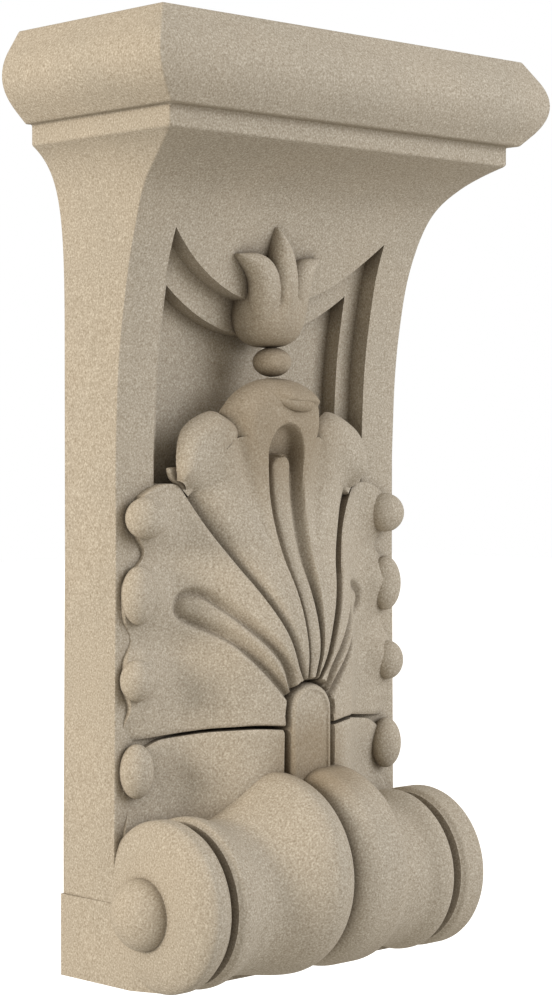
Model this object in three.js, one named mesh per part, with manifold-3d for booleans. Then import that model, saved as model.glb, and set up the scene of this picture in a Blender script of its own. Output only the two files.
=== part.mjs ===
// Carved stone corbel. Millimetres, Z up, the wall behind at Y = 0 and the front facing -Y.
// "Depth" is the distance in front of the wall, and heights are measured from the underside.
import * as THREE from "three";
import { mergeVertices } from "three/addons/utils/BufferGeometryUtils.js";
import Module from "manifold-3d";

const wasm = await Module();
wasm.setup();

const { clamp, lerp, smoothstep } = THREE.MathUtils;

// Shaft and hollow curves
const HEIGHT = 450;
const SHAFT_WIDTH = 188;
const FOOT_WIDTH = 190.4;
const FOOT_TOP = 65;
const SHAFT_BOTTOM = 200;
const SHAFT_DEPTH = 38.5;
const FRONT_COVE_BOTTOM = 250;
const SIDE_COVE_BOTTOM = 310;
const COVE_ROWS = 18;

// Cap: a flat band, a small step and a rounded nose
const CAP_HEIGHT = 43.4;
const BAND_HEIGHT = 9.7;
const BAND_WIDTH = 227;
const BAND_DEPTH = 99.7;
const SIDE_NOSE = { reach: 17.7, stepBelow: 3.8, stepAbove: 7.4 };
const FRONT_NOSE = { reach: 14.1, stepBelow: 5.6, stepAbove: 3.9 };
const NOSE_MIDDLE = 20.9;
const NOSE_ROUND_BELOW = 0.75;
const NOSE_ROUND_ABOVE = 0.55;
const NOSE_ROWS = 10;

// Recess in two steps, with a top edge that sags in the middle
const RECESS_BOTTOM = 205;
const OUTER_RECESS = { width: 141, top: 357.5, sag: 33.5, depth: 10.5 };
const INNER_RECESS = { width: 121, top: 331.5, sag: 22.5, depth: 20 };
const RECESS_COLUMNS = 10;
const RECESS_ROWS = 8;

// Rolled foot: on each side an end disc, a groove, a ring, a waist and a bulge, with a groove
// in the middle
const DISC_RADIUS = 40.3;
const DISC_FACE_RADIUS = 25;
const DISC_DEPTH = 65.4;
const DISC_WIDTH = 191;
const DISC_EDGE = 7;
const DISC_EDGE_ROWS = 6;
const DISC_GROOVE = 7;
const DISC_GROOVE_WIDTH = 4.5;
const WAIST_RADIUS = 37;
const BULGE_RADIUS = 48.7;
const BULGE = { depth: 69.8, centre: 49.4 };
const LEFT_SIDE = { side: -1, fallFrom: 22, fallTo: 52, ring: 71, disc: 80 };
const RIGHT_SIDE = { side: 1, fallFrom: 19, fallTo: 39, ring: 66, disc: 75 };
const FALL_ROWS = 4;
const MIDDLE_GROOVE = { x: -8, halfWidth: 14, depth: 11.5 };
const GROOVE_SHARES = [0.06, 0.2, 0.5, 1];
const SCROLL_SEGMENTS = 36;
const EYE = { depth: 59.5, z: 37, radius: 17, reach: 13 };
const EYE_DETAIL = 22;
const SLAB_PROUD = 1.2;
const SLAB_TOP = 39.3;
const SLAB_SQUARE_DEPTH = 50;

// Leaf: a tongue in the middle, an upper leaf, two side lobes and two low lobes
const LEAF_BACK = 15;
const TONGUE_WIDTH = 27.6;
const TONGUE_TOP = 139.5;
const TONGUE_BOTTOM = 62;
const TONGUE_DEPTH = 75;
const TONGUE_BEVEL = 3.5;
const GAP_WIDTH = 4;
const GAP_DEPTH = 9;
const UPPER_LEAF_STEPS = 20;
const UPPER_LEAF_SPREAD = 1.6;
const FINGER_SHARE = 0.1;
const CREST_SHARE = 0.3;
const FINGER_TOP = 250;
const EYELET_TOP = 266;
const EYELET_HALF_WIDTH = 12;
const EYELET_DEPTH = 8;
const GROOVE_DEPTH = 5;
const FINGER_DROP = 2;
const VALLEY = { share: 0.55, width: 0.16, depth: 3, from: 190, to: 255 };
const LIP = { z: 279, height: 7, rise: 3, halfWidth: 8, fade: 20 };
const EDGE_SHARE = 0.9;
const EDGE_DROP = 4;
const ROLL_RADIUS = 11;
const MIDDLE_TIP = { x: 0, z: 262, halfWidth: 29, height: 26 };
const SIDE_TIP = { x: 45, z: 255, halfWidth: 18, height: 16 };
const TIP_START = 5 / 6;
const TIP_BACK_SHARE = 0.45;
const TIP_BACK_TOP = 262;
const SIDE_FINGER_SHARE = 9 / 16;
const SIDE_SHOULDER_SHARE = 13 / 16;
const SIDE_FINGER_END = 0.78;
const SIDE_FINGER_RISE = 1.5;
const SIDE_GROOVE_DEPTH = 3.5;
const SIDE_COLUMNS = 14;
const SIDE_ROWS = 16;
const CREASE_DEPTH = 6;
const TUCK_DEPTH = 7;
const NOTCHES = [131, 163, 203];
const NOTCH_DEPTH = 3.5;
const NOTCH_WIDTH = 6;
const LOW_LOBE_BOTTOM = 50;
const LOW_COLUMNS = 12;
const LOW_ROWS = 5;

// Curled leaf tips along the side margins
const BEADS = [
  { x: 81, z: 220.5, depth: 45, radius: 9.7, height: 10 },
  { x: 83.5, z: 184, depth: 43, radius: 8, height: 13 },
  { x: 85.5, z: 144.5, depth: 43.5, radius: 7.7, height: 9.5 },
  { x: 85, z: 102, depth: 42.5, radius: 7.6, height: 12 },
  { x: 61, z: 240, depth: 45.5, radius: 6, height: 5 },
];
const BEAD_DETAIL = 12;

// Flower above the leaf
const BUD_DEPTH = 43;
const BUD_RADIUS = 18;
const BUD_BOTTOM = 303;
const BUD_TOP = 346;
const BUD_ROUNDNESS = 0.8;
const BUD_ROWS = 7;
const BUD_SEGMENTS = 22;
const STEM_BEAD = { z: 296, depth: 46, radius: 9.6, height: 7.3 };
const PETAL_THICKNESS = 6;
const PETAL_NARROWING = 0.5;
const LEFT_PETAL = { x: -18, depth: 54, z: 334, lean: 0.62, halfWidth: 7.5, length: 13 };
const MIDDLE_PETAL = { x: -3, depth: 55, z: 344, lean: 0.2, halfWidth: 6.5, length: 17 };
const RIGHT_PETAL = { x: 14, depth: 54, z: 335, lean: -0.55, halfWidth: 7, length: 13 };

const CURVE_SAMPLES = 120;
const BALL_ROWS_SHARE = 0.7;

const points = (pairs) => pairs.map(([x, y]) => new THREE.Vector2(x, y));

// The hollow curve of the front, as depth and height, and that of the sides, as half width and height
const frontCove = new THREE.SplineCurve(points([
  [SHAFT_DEPTH, FRONT_COVE_BOTTOM],
  [SHAFT_DEPTH + 2, FRONT_COVE_BOTTOM + 40],
  [SHAFT_DEPTH + 6, FRONT_COVE_BOTTOM + 69],
  [lerp(SHAFT_DEPTH, BAND_DEPTH, 0.2), HEIGHT - CAP_HEIGHT - BAND_HEIGHT - 51],
  [lerp(SHAFT_DEPTH, BAND_DEPTH, 0.39), HEIGHT - CAP_HEIGHT - BAND_HEIGHT - 25],
  [lerp(SHAFT_DEPTH, BAND_DEPTH, 0.65), HEIGHT - CAP_HEIGHT - BAND_HEIGHT - 11],
  [BAND_DEPTH, HEIGHT - CAP_HEIGHT - BAND_HEIGHT],
]));
const sideCove = new THREE.CubicBezierCurve(...points([
  [SHAFT_WIDTH / 2, SIDE_COVE_BOTTOM],
  [SHAFT_WIDTH / 2, HEIGHT - CAP_HEIGHT - BAND_HEIGHT - 28.6],
  [SHAFT_WIDTH / 2 + 3, HEIGHT - CAP_HEIGHT - BAND_HEIGHT - 11.3],
  [BAND_WIDTH / 2, HEIGHT - CAP_HEIGHT - BAND_HEIGHT],
]));

// Reads a rising curve at one height
function curveAt(curve, height) {
  const samples = curve.getPoints(CURVE_SAMPLES);
  const next = samples.findIndex((p) => p.y >= height);
  if (next === 0) return samples[0].x;
  if (next < 0) return samples[samples.length - 1].x;
  const [a, b] = [samples[next - 1], samples[next]];
  return lerp(a.x, b.x, (height - a.y) / (b.y - a.y));
}

// Moves every corner of a plain shape to its place on the carving
function warped(geometry, place) {
  const position = geometry.attributes.position;
  for (let i = 0; i < position.count; i += 1) {
    const [x, y, z] = place(position.getX(i), position.getY(i), position.getZ(i));
    position.setXYZ(i, x, y, z);
  }
  return geometry;
}

function solid(geometry) {
  const bare = geometry.clone();
  bare.deleteAttribute("normal");
  bare.deleteAttribute("uv");
  const merged = mergeVertices(bare, 1e-4);
  return new wasm.Manifold(new wasm.Mesh({
    numProp: 3,
    vertProperties: new Float32Array(merged.attributes.position.array),
    triVerts: new Uint32Array(merged.index.array),
  }));
}

function geometryOf(manifold) {
  const mesh = manifold.getMesh();
  const geometry = new THREE.BufferGeometry();
  geometry.setAttribute("position", new THREE.BufferAttribute(new Float32Array(mesh.vertProperties), 3));
  geometry.setIndex(new THREE.BufferAttribute(new Uint32Array(mesh.triVerts), 1));
  geometry.computeVertexNormals();
  return geometry;
}

function ellipsoid(x, depth, z, rx, ry, rz, detail) {
  const ball = new THREE.SphereGeometry(1, detail, Math.round(detail * BALL_ROWS_SHARE));
  return solid(warped(ball, (a, b, c) => [x + rx * a, -depth + ry * b, z + rz * c]));
}

// The block: rectangles stacked from the underside to the top of the cap
function levels() {
  const bandBottom = HEIGHT - CAP_HEIGHT - BAND_HEIGHT;
  const bandTop = HEIGHT - CAP_HEIGHT;
  const list = [
    { z: 0, halfWidth: FOOT_WIDTH / 2, depth: SHAFT_DEPTH },
    { z: FOOT_TOP, halfWidth: FOOT_WIDTH / 2, depth: SHAFT_DEPTH },
    { z: SHAFT_BOTTOM, halfWidth: SHAFT_WIDTH / 2, depth: SHAFT_DEPTH },
  ];
  for (const p of frontCove.getPoints(COVE_ROWS)) {
    list.push({ z: p.y, halfWidth: curveAt(sideCove, p.y), depth: p.x });
  }
  list[list.length - 1].z = bandBottom;
  list.push({ z: bandTop, halfWidth: BAND_WIDTH / 2, depth: BAND_DEPTH });
  for (let i = 0; i <= NOSE_ROWS; i += 1) {
    const above = (CAP_HEIGHT * i) / NOSE_ROWS;
    list.push({
      z: bandTop + above,
      halfWidth: BAND_WIDTH / 2 + noseReach(SIDE_NOSE, above),
      depth: BAND_DEPTH + noseReach(FRONT_NOSE, above),
    });
  }
  return list;
}

// How far a nose stands out past the band, at a height above the band: round in the middle,
// and straight towards its upper and lower edges
function noseReach(nose, above) {
  const lower = above < NOSE_MIDDLE;
  const span = lower ? NOSE_MIDDLE : CAP_HEIGHT - NOSE_MIDDLE;
  const drop = nose.reach - (lower ? nose.stepBelow : nose.stepAbove);
  const round = lower ? NOSE_ROUND_BELOW : NOSE_ROUND_ABOVE;
  const share = Math.min(1, Math.abs(above - NOSE_MIDDLE) / span);
  const curved = Math.min(share, round) ** 2;
  const straight = 2 * round * Math.max(0, share - round);
  return nose.reach - (drop * (curved + straight)) / (round * (2 - round));
}

function block() {
  const rows = levels();
  const count = rows.length - 1;
  return solid(warped(new THREE.BoxGeometry(1, 1, 1, 1, 1, count), (x, y, z) => {
    const row = rows[Math.round((z + 0.5) * count)];
    return [2 * x * row.halfWidth, y < 0 ? -row.depth : 0, row.z];
  }));
}

// One step of the recess: it follows the front curve at its own depth below the surface
function recessCut({ width, top, sag, depth }) {
  return solid(warped(new THREE.BoxGeometry(1, 1, 1, RECESS_COLUMNS, 1, RECESS_ROWS), (x, y, z) => {
    const arch = top - sag * (1 - (2 * x) ** 2);
    const height = lerp(RECESS_BOTTOM, arch, z + 0.5);
    const surface = curveAt(frontCove, height);
    return [x * width, y < 0 ? -2 * BAND_DEPTH : depth - surface, height];
  }));
}

// One side of the rolled foot, as circles from beside its middle groove out to an end disc, that
// all stand on the underside
function scrollSide({ side, fallFrom, fallTo, ring, disc }) {
  const end = { centre: DISC_RADIUS, depth: DISC_DEPTH };
  const stations = GROOVE_SHARES.map((share) => {
    const sunk = 1 - Math.sqrt(1 - (1 - share) ** 2);
    const x = MIDDLE_GROOVE.x + side * share * MIDDLE_GROOVE.halfWidth;
    return { x, ...BULGE, radius: BULGE_RADIUS - MIDDLE_GROOVE.depth * sunk };
  });
  for (let i = 0; i <= FALL_ROWS; i += 1) {
    const away = lerp(fallFrom, fallTo, i / FALL_ROWS);
    const share = smoothstep(away, fallFrom, fallTo);
    stations.push({
      x: side * away,
      radius: lerp(BULGE_RADIUS, WAIST_RADIUS, share),
      depth: lerp(BULGE.depth, DISC_DEPTH, share),
      centre: lerp(BULGE.centre, DISC_RADIUS, share),
    });
  }
  const outwards = [
    [lerp(fallTo, ring, 0.6), lerp(WAIST_RADIUS, DISC_RADIUS, 0.4)],
    [ring, DISC_RADIUS - 0.2],
    [disc - DISC_GROOVE_WIDTH, DISC_RADIUS - 2],
    [disc - DISC_GROOVE_WIDTH + 0.6, DISC_RADIUS - DISC_GROOVE],
    [disc - 0.6, DISC_RADIUS - DISC_GROOVE],
    [disc, DISC_RADIUS - 3],
    [disc + 2, DISC_RADIUS - 0.8],
  ];
  for (let i = 0; i <= DISC_EDGE_ROWS; i += 1) {
    const angle = (Math.PI / 2) * (i / DISC_EDGE_ROWS);
    const away = DISC_WIDTH / 2 - DISC_EDGE * (1 - Math.sin(angle));
    outwards.push([away, lerp(DISC_FACE_RADIUS, DISC_RADIUS, Math.cos(angle))]);
  }
  for (const [away, radius] of outwards) stations.push({ x: side * away, ...end, radius });
  return stations;
}

// Both sides together: the left bulge falls slowly to its waist and the right one more steeply
function scrollStations() {
  const middle = { x: MIDDLE_GROOVE.x, ...BULGE, radius: BULGE_RADIUS - MIDDLE_GROOVE.depth };
  return [...scrollSide(LEFT_SIDE).reverse(), middle, ...scrollSide(RIGHT_SIDE)];
}

function scroll() {
  const stations = scrollStations();
  const count = stations.length - 1;
  return solid(warped(new THREE.CylinderGeometry(1, 1, 1, SCROLL_SEGMENTS, count), (a, along, b) => {
    const s = stations[Math.round((along + 0.5) * count)];
    return [s.x, -s.depth - s.radius * a, s.centre + s.radius * b];
  }));
}

// The foot's squared lower half, from the wall to under the discs, where it narrows into their
// round edges
function footSlab() {
  const sections = [
    { depth: 0, width: FOOT_WIDTH + 2 * SLAB_PROUD },
    { depth: SLAB_SQUARE_DEPTH, width: FOOT_WIDTH },
    { depth: DISC_DEPTH, width: DISC_WIDTH - 2 * DISC_EDGE },
  ];
  const count = sections.length - 1;
  return solid(warped(new THREE.BoxGeometry(1, 1, 1, 1, count, 1), (x, y, z) => {
    const section = sections[Math.round((0.5 - y) * count)];
    return [x * section.width, -section.depth, (z + 0.5) * SLAB_TOP];
  }));
}

// Depth of the leaf along its middle line, by height
const spine = new THREE.SplineCurve(points([
  [74, 80], [75, 120], [75.5, 139], [78.2, 155], [77, 170], [72.8, 185],
  [66, 200], [61, 215], [57.5, 232], [57, 250], [59, 268], [60, 290],
]));

// Distance outside the tongue's outline, seen from the front
function tongueDistance(x, z) {
  const radius = TONGUE_WIDTH / 2;
  return Math.hypot(x, Math.max(0, z - (TONGUE_TOP - radius))) - radius;
}

// How the swell falls from the middle line to the margins, as a share of its height, and the
// depth of the margins themselves, both by half width
const crown = new THREE.SplineCurve(points([
  [1, 0], [0.92, 20], [0.68, 36], [0.335, 48], [0.07, 60], [0, 75], [0, 95],
]));
const margin = new THREE.SplineCurve(points([[44, 0], [44.2, 30], [44, 62], [42.5, 78], [40.3, 92]]));

// The leaf's general swell: full in the middle, thin at the margins, and let down round the tongue
function swell(x, z) {
  const away = Math.abs(x);
  const gap = 1 - smoothstep(tongueDistance(x, z), 0, GAP_WIDTH);
  return lerp(curveAt(margin, away), curveAt(spine, z), curveAt(crown, away)) - GAP_DEPTH * gap;
}

// Ribs of the upper leaf from the tongue upwards: the middle finger's edge, the crest beside
// its groove, and the outer edge
const fingerRib = new THREE.SplineCurve(points([
  [1.2, 136], [3.6, 157], [3.9, 178], [4.1, 202], [5.3, 226], [6, 250], [6.5, 288],
]));
const crestRib = new THREE.SplineCurve(points([
  [2.6, 136], [5, 157], [6.6, 178], [9, 202], [10.8, 226], [12, 250], [13.5, 285],
]));
const edgeRib = new THREE.SplineCurve(points([
  [6, 135], [11, 151], [20.5, 170], [32, 191], [45.5, 213], [59, 235], [61.5, 256],
]));

// Height of the upper leaf's outline over a place on its width
function tipLine(x) {
  const arch = (tip) => {
    const away = clamp(Math.abs(Math.abs(x) - tip.x) / tip.halfWidth, 0, 1);
    return tip.z + tip.height * Math.sqrt(1 - away * away);
  };
  const inMiddle = Math.abs(x) < MIDDLE_TIP.halfWidth;
  return inMiddle ? arch(MIDDLE_TIP) : arch(SIDE_TIP);
}

function upperLeafPlace(across, along) {
  const share = Math.abs(across);
  const finger = fingerRib.getPoint(along);
  const crest = crestRib.getPoint(along);
  const edge = edgeRib.getPoint(along);
  const place = new THREE.Vector2();
  if (share <= FINGER_SHARE) {
    place.set((finger.x * share) / FINGER_SHARE, finger.y);
  } else if (share <= CREST_SHARE) {
    place.lerpVectors(finger, crest, (share - FINGER_SHARE) / (CREST_SHARE - FINGER_SHARE));
  } else {
    place.lerpVectors(crest, edge, (share - CREST_SHARE) / (1 - CREST_SHARE));
  }
  const last = smoothstep(along, TIP_START, 1);
  place.y = lerp(place.y, tipLine(place.x), last);
  place.x *= Math.sign(across);
  return place;
}

// Relief of the upper leaf on its swell
function upperLeafRelief(across, x, z) {
  const share = Math.abs(across);
  const groove = Math.sin(Math.PI * clamp((share - FINGER_SHARE) / (CREST_SHARE - FINGER_SHARE), 0, 1));
  const below = 1 - smoothstep(z, FINGER_TOP, EYELET_TOP - EYELET_DEPTH);
  let relief = -GROOVE_DEPTH * groove * below;
  if (share < CREST_SHARE) {
    relief -= FINGER_DROP * below * Math.cos((Math.PI / 2) * (share / CREST_SHARE));
  }
  const middle = (FINGER_TOP + EYELET_TOP) / 2;
  const tall = (EYELET_TOP - FINGER_TOP) / 2;
  const eyelet = Math.hypot(x / EYELET_HALF_WIDTH, (z - middle) / tall);
  relief -= EYELET_DEPTH * (1 - smoothstep(eyelet, 0.5, 1.1));
  const valley = 1 - smoothstep(Math.abs(share - VALLEY.share), 0, VALLEY.width);
  relief -= VALLEY.depth * valley * smoothstep(z, VALLEY.from, VALLEY.to);
  const edge = clamp((share - EDGE_SHARE) / (1 - EDGE_SHARE), 0, 1);
  relief -= EDGE_DROP * edge * edge;
  const under = clamp(1 - (tipLine(x) - z) / ROLL_RADIUS, 0, 1);
  relief -= ROLL_RADIUS * (1 - Math.sqrt(1 - under * under));
  const lip = 1 - smoothstep(Math.abs(z - LIP.z), 0, LIP.height);
  relief += LIP.rise * lip * (1 - smoothstep(Math.abs(x), LIP.halfWidth, LIP.fade));
  return relief;
}

// The upper leaf stands free of the wall towards its tips, so its back draws in behind them
function upperLeaf() {
  const steps = UPPER_LEAF_STEPS;
  return solid(warped(new THREE.BoxGeometry(1, 1, 1, steps, 1, steps), (a, b, c) => {
    const across = Math.round(a * steps) / (steps / 2);
    const along = 1 - (0.5 - c) ** UPPER_LEAF_SPREAD;
    const place = upperLeafPlace(across, along);
    if (b < 0) {
      const depth = swell(place.x, place.y) + upperLeafRelief(across, place.x, place.y);
      return [place.x, -depth, place.y];
    }
    const free = smoothstep(along, TIP_START, 1);
    const height = lerp(place.y, Math.min(place.y, TIP_BACK_TOP), free);
    return [place.x * lerp(1, TIP_BACK_SHARE, free), -LEAF_BACK, height];
  }));
}

// Ribs of a side lobe from the tongue outwards: the crease below it, its own finger, its
// shoulder and its upper edge under the upper leaf
const creaseRib = new THREE.SplineCurve(points([
  [11, 119], [29, 120.4], [45, 119.6], [59, 117.8], [72, 116.5], [88, 114.8],
]));
const sideFingerRib = new THREE.SplineCurve(points([
  [11, 131], [23, 148], [33, 162], [48, 173.5], [67, 179], [88, 186],
]));
const shoulderRib = new THREE.SplineCurve(points([
  [7, 136], [18, 157], [33, 182], [54, 206], [72, 220], [84, 228],
]));
const upperRib = new THREE.SplineCurve(points([
  [4, 138], [13, 156.5], [24, 178], [37, 200], [50, 221], [59, 236],
]));

function sideLobePlace(up, along) {
  const crease = creaseRib.getPoint(along);
  const finger = sideFingerRib.getPoint(along);
  const shoulder = shoulderRib.getPoint(along);
  const upper = upperRib.getPoint(along);
  const place = new THREE.Vector2();
  if (up <= SIDE_FINGER_SHARE) {
    place.lerpVectors(crease, finger, up / SIDE_FINGER_SHARE);
  } else if (up <= SIDE_SHOULDER_SHARE) {
    place.lerpVectors(finger, shoulder, (up - SIDE_FINGER_SHARE) / (SIDE_SHOULDER_SHARE - SIDE_FINGER_SHARE));
  } else {
    place.lerpVectors(shoulder, upper, (up - SIDE_SHOULDER_SHARE) / (1 - SIDE_SHOULDER_SHARE));
  }
  for (const notch of NOTCHES) {
    const near = Math.exp(-(((place.y - notch) / NOTCH_WIDTH) ** 2));
    place.x -= NOTCH_DEPTH * near * smoothstep(along, 0.8, 1);
  }
  return place;
}

function sideLobeRelief(up, along) {
  const unit = 1 / SIDE_ROWS;
  const beside = Math.abs(up - SIDE_FINGER_SHARE) / unit;
  const beyond = Math.max(0, (along - SIDE_FINGER_END) * SIDE_ROWS * 0.6);
  const away = Math.hypot(beside, beyond);
  let relief = away < 1 ? SIDE_FINGER_RISE * (1 - away * away) : 0;
  relief -= SIDE_GROOVE_DEPTH * Math.exp(-(((away - 1) / 0.5) ** 2));
  relief -= CREASE_DEPTH * (1 - clamp(up / (1.5 * unit), 0, 1)) ** 2;
  relief -= TUCK_DEPTH * smoothstep(up, SIDE_SHOULDER_SHARE - unit, 1);
  return relief;
}

function sideLobe(side) {
  return solid(warped(new THREE.BoxGeometry(1, 1, 1, SIDE_COLUMNS, 1, SIDE_ROWS), (a, b, c) => {
    const along = 0.5 + side * a;
    const up = c + 0.5;
    const place = sideLobePlace(up, along);
    const depth = swell(place.x, place.y) + sideLobeRelief(up, along);
    return [side * place.x, b < 0 ? -depth : -LEAF_BACK, place.y];
  }));
}

function lowLobe(side) {
  return solid(warped(new THREE.BoxGeometry(1, 1, 1, LOW_COLUMNS, 1, LOW_ROWS), (a, b, c) => {
    const along = 0.5 + side * a;
    const up = c + 0.5;
    const crease = creaseRib.getPoint(along);
    const z = lerp(LOW_LOBE_BOTTOM, crease.y + 1, up);
    const depth = swell(crease.x, z) - CREASE_DEPTH * clamp((up - 0.8) / 0.2, 0, 1) ** 2;
    return [side * crease.x, b < 0 ? -depth : -LEAF_BACK, z];
  }));
}

function tongue() {
  const radius = TONGUE_WIDTH / 2 - TONGUE_BEVEL;
  const centre = TONGUE_TOP - TONGUE_WIDTH / 2;
  const outline = new THREE.Shape();
  outline.moveTo(-radius, TONGUE_BOTTOM);
  outline.lineTo(radius, TONGUE_BOTTOM);
  outline.lineTo(radius, centre);
  outline.absarc(0, centre, radius, 0, Math.PI, false);
  const shape = new THREE.ExtrudeGeometry(outline, {
    depth: TONGUE_DEPTH - LEAF_BACK - 2 * TONGUE_BEVEL,
    bevelThickness: TONGUE_BEVEL,
    bevelSize: TONGUE_BEVEL,
    bevelSegments: 3,
    curveSegments: 14,
  });
  shape.rotateX(Math.PI / 2);
  shape.translate(0, -LEAF_BACK - TONGUE_BEVEL, 0);
  return solid(shape);
}

// The bud is a cup of stone with a round bottom
function bud() {
  const profile = [];
  for (let i = 0; i <= BUD_ROWS; i += 1) {
    const angle = (Math.PI / 2) * (i / BUD_ROWS);
    const radius = BUD_RADIUS * Math.sin(angle) ** BUD_ROUNDNESS;
    profile.push([radius, BUD_BOTTOM + BUD_RADIUS * (1 - Math.cos(angle))]);
  }
  profile.push([BUD_RADIUS - 2, BUD_TOP - 6], [BUD_RADIUS - 6, BUD_TOP], [0, BUD_TOP]);
  profile[0][0] = 0;
  const cup = new THREE.LatheGeometry(points(profile), BUD_SEGMENTS);
  cup.rotateX(Math.PI / 2);
  cup.translate(0, -BUD_DEPTH, 0);
  return solid(cup);
}

// A petal rises out of the bud, narrows to its tip and leans outwards
function petal({ x, depth, z, lean, halfWidth, length }) {
  const ball = new THREE.SphereGeometry(1, BEAD_DETAIL, Math.round(BEAD_DETAIL * BALL_ROWS_SHARE));
  return solid(warped(ball, (a, b, c) => {
    const narrow = halfWidth * (1 - PETAL_NARROWING * c);
    return [x + narrow * a - lean * length * c, -depth + PETAL_THICKNESS * b, z + length * c];
  }));
}

function corbel() {
  let stone = block();
  for (const step of [OUTER_RECESS, INNER_RECESS]) stone = stone.subtract(recessCut(step));
  const { radius: stemRadius } = STEM_BEAD;
  const carving = [
    scroll(),
    footSlab(),
    upperLeaf(),
    sideLobe(1),
    sideLobe(-1),
    lowLobe(1),
    lowLobe(-1),
    tongue(),
    ellipsoid(0, STEM_BEAD.depth, STEM_BEAD.z, stemRadius, stemRadius, STEM_BEAD.height, BEAD_DETAIL),
    bud(),
    petal(LEFT_PETAL),
    petal(MIDDLE_PETAL),
    petal(RIGHT_PETAL),
  ];
  for (const side of [-1, 1]) {
    const eyeX = side * (DISC_WIDTH / 2);
    carving.push(ellipsoid(eyeX, EYE.depth, EYE.z, EYE.reach, EYE.radius, EYE.radius, EYE_DETAIL));
    for (const { x, z, depth, radius, height } of BEADS) {
      carving.push(ellipsoid(side * x, depth, z, radius, radius, height, BEAD_DETAIL));
    }
  }
  for (const piece of carving) stone = stone.add(piece);
  return stone;
}

const sandstone = new THREE.MeshStandardMaterial({ name: "sandstone", color: 0xb9a78c, roughness: 0.95, metalness: 0 });
const mesh = new THREE.Mesh(geometryOf(corbel()), sandstone);
mesh.name = "corbel";
mesh.position.z = -HEIGHT / 2;

const group = new THREE.Group();
group.add(mesh);
export default group;
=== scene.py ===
# %% [markdown]
# # A carved stone corbel
# A corbel is a bracket cut from one block of stone. It is built into a wall and carries a shelf or a
# beam on its flat top. This one has a moulded cap, hollow sides and front, a sunk panel with a flower
# bud, an acanthus leaf that spreads over the front, and a foot rolled up like a scroll.
# The lesson models each form by itself, as a closed mesh, and then joins them into one stone, the way
# that the real one is: a single solid. First the frame is loaded. It holds the plain solid that fixes
# the size and the place of everything that follows.

# %% Load the frame and keep its box
import math

import bmesh
import bpy
import numpy as np
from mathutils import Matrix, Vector


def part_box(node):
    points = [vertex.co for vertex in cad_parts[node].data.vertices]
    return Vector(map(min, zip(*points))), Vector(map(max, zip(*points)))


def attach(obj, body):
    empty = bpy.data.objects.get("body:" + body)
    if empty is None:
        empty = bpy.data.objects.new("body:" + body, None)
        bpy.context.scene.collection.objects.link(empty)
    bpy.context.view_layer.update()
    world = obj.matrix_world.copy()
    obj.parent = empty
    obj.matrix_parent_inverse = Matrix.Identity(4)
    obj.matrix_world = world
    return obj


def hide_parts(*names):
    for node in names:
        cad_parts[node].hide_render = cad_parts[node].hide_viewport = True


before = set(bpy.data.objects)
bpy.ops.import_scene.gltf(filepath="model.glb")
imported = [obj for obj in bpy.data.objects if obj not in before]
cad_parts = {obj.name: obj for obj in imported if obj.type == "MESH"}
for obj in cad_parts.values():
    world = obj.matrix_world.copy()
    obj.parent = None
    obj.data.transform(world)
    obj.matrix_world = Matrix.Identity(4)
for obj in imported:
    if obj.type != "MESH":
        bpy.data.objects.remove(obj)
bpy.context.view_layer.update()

# %% [markdown]
# A carver works from a drawing in millimetres, with heights measured up from the underside and depths
# measured out from the wall. The same is done here: every shape is first worked out as (x, depth, z)
# in millimetres of a corbel 450 high, and one function puts it in the frame.

# %% Millimetres of the drawing, and where they lie in the frame
low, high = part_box("corbel")
HEIGHT = 450
MM = (high.z - low.z) / HEIGHT


def in_frame(points):
    """(x, depth, z) of the drawing, in millimetres, as frame coordinates in metres."""
    points = np.asarray(points, float)
    x, depth, z = points[..., 0], points[..., 1], points[..., 2]
    return np.stack([x * MM, -depth * MM, low.z + z * MM], axis=-1)


print("one millimetre of the drawing is", round(MM, 6), "m")

# %% [markdown]
# A few small helpers serve all the carving. One draws a smooth line through a few chosen points, as a
# bent spline does on a drawing board. One eases from 0 to 1, which gives the soft run-outs of a chisel.
# The others make Blender objects: a mesh from corners and faces, a sheet closed at its back, and rings
# of corners closed with a point at both ends.

# %% Smooth lines, soft steps and meshes
def smooth_line(points, share):
    """Places on a smooth line through the points, at shares 0 to 1 of its way."""
    knots = np.asarray(points, float)
    last = len(knots) - 1
    position = np.clip(np.asarray(share, float), 0, 1) * last
    start = np.minimum(position.astype(int), last - 1)
    u = (position - start)[..., None]
    a, b, c, d = (knots[np.clip(start + step, 0, last)] for step in (-1, 0, 1, 2))
    bend = 2 * a - 5 * b + 4 * c - d
    swing = 3 * b - a - 3 * c + d
    return b + u / 2 * ((c - a) + u * (bend + u * swing))


def at_height(points, z):
    """First coordinate of a rising smooth line, at one or many heights."""
    samples = smooth_line(points, np.linspace(0, 1, 400))
    return np.interp(z, samples[:, 1], samples[:, 0])


def soft_step(value, start, end):
    share = np.clip((np.asarray(value, float) - start) / (end - start), 0, 1)
    return share * share * (3 - 2 * share)


def mix(a, b, share):
    return a + (b - a) * share


def grid(columns, rows, left=0):
    """Shares across and up a grid of this many steps."""
    return np.meshgrid(np.linspace(left, 1, columns + 1), np.linspace(0, 1, rows + 1))


def mesh_object(name, corners, faces):
    """A new object at the origin, unturned and unscaled, with its place in its mesh."""
    mesh = bpy.data.meshes.new(name)
    mesh.from_pydata(in_frame(corners).tolist(), [], faces)
    mesh.validate()
    made = bpy.data.objects.new(name, mesh)
    bpy.context.scene.collection.objects.link(made)
    return made


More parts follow.
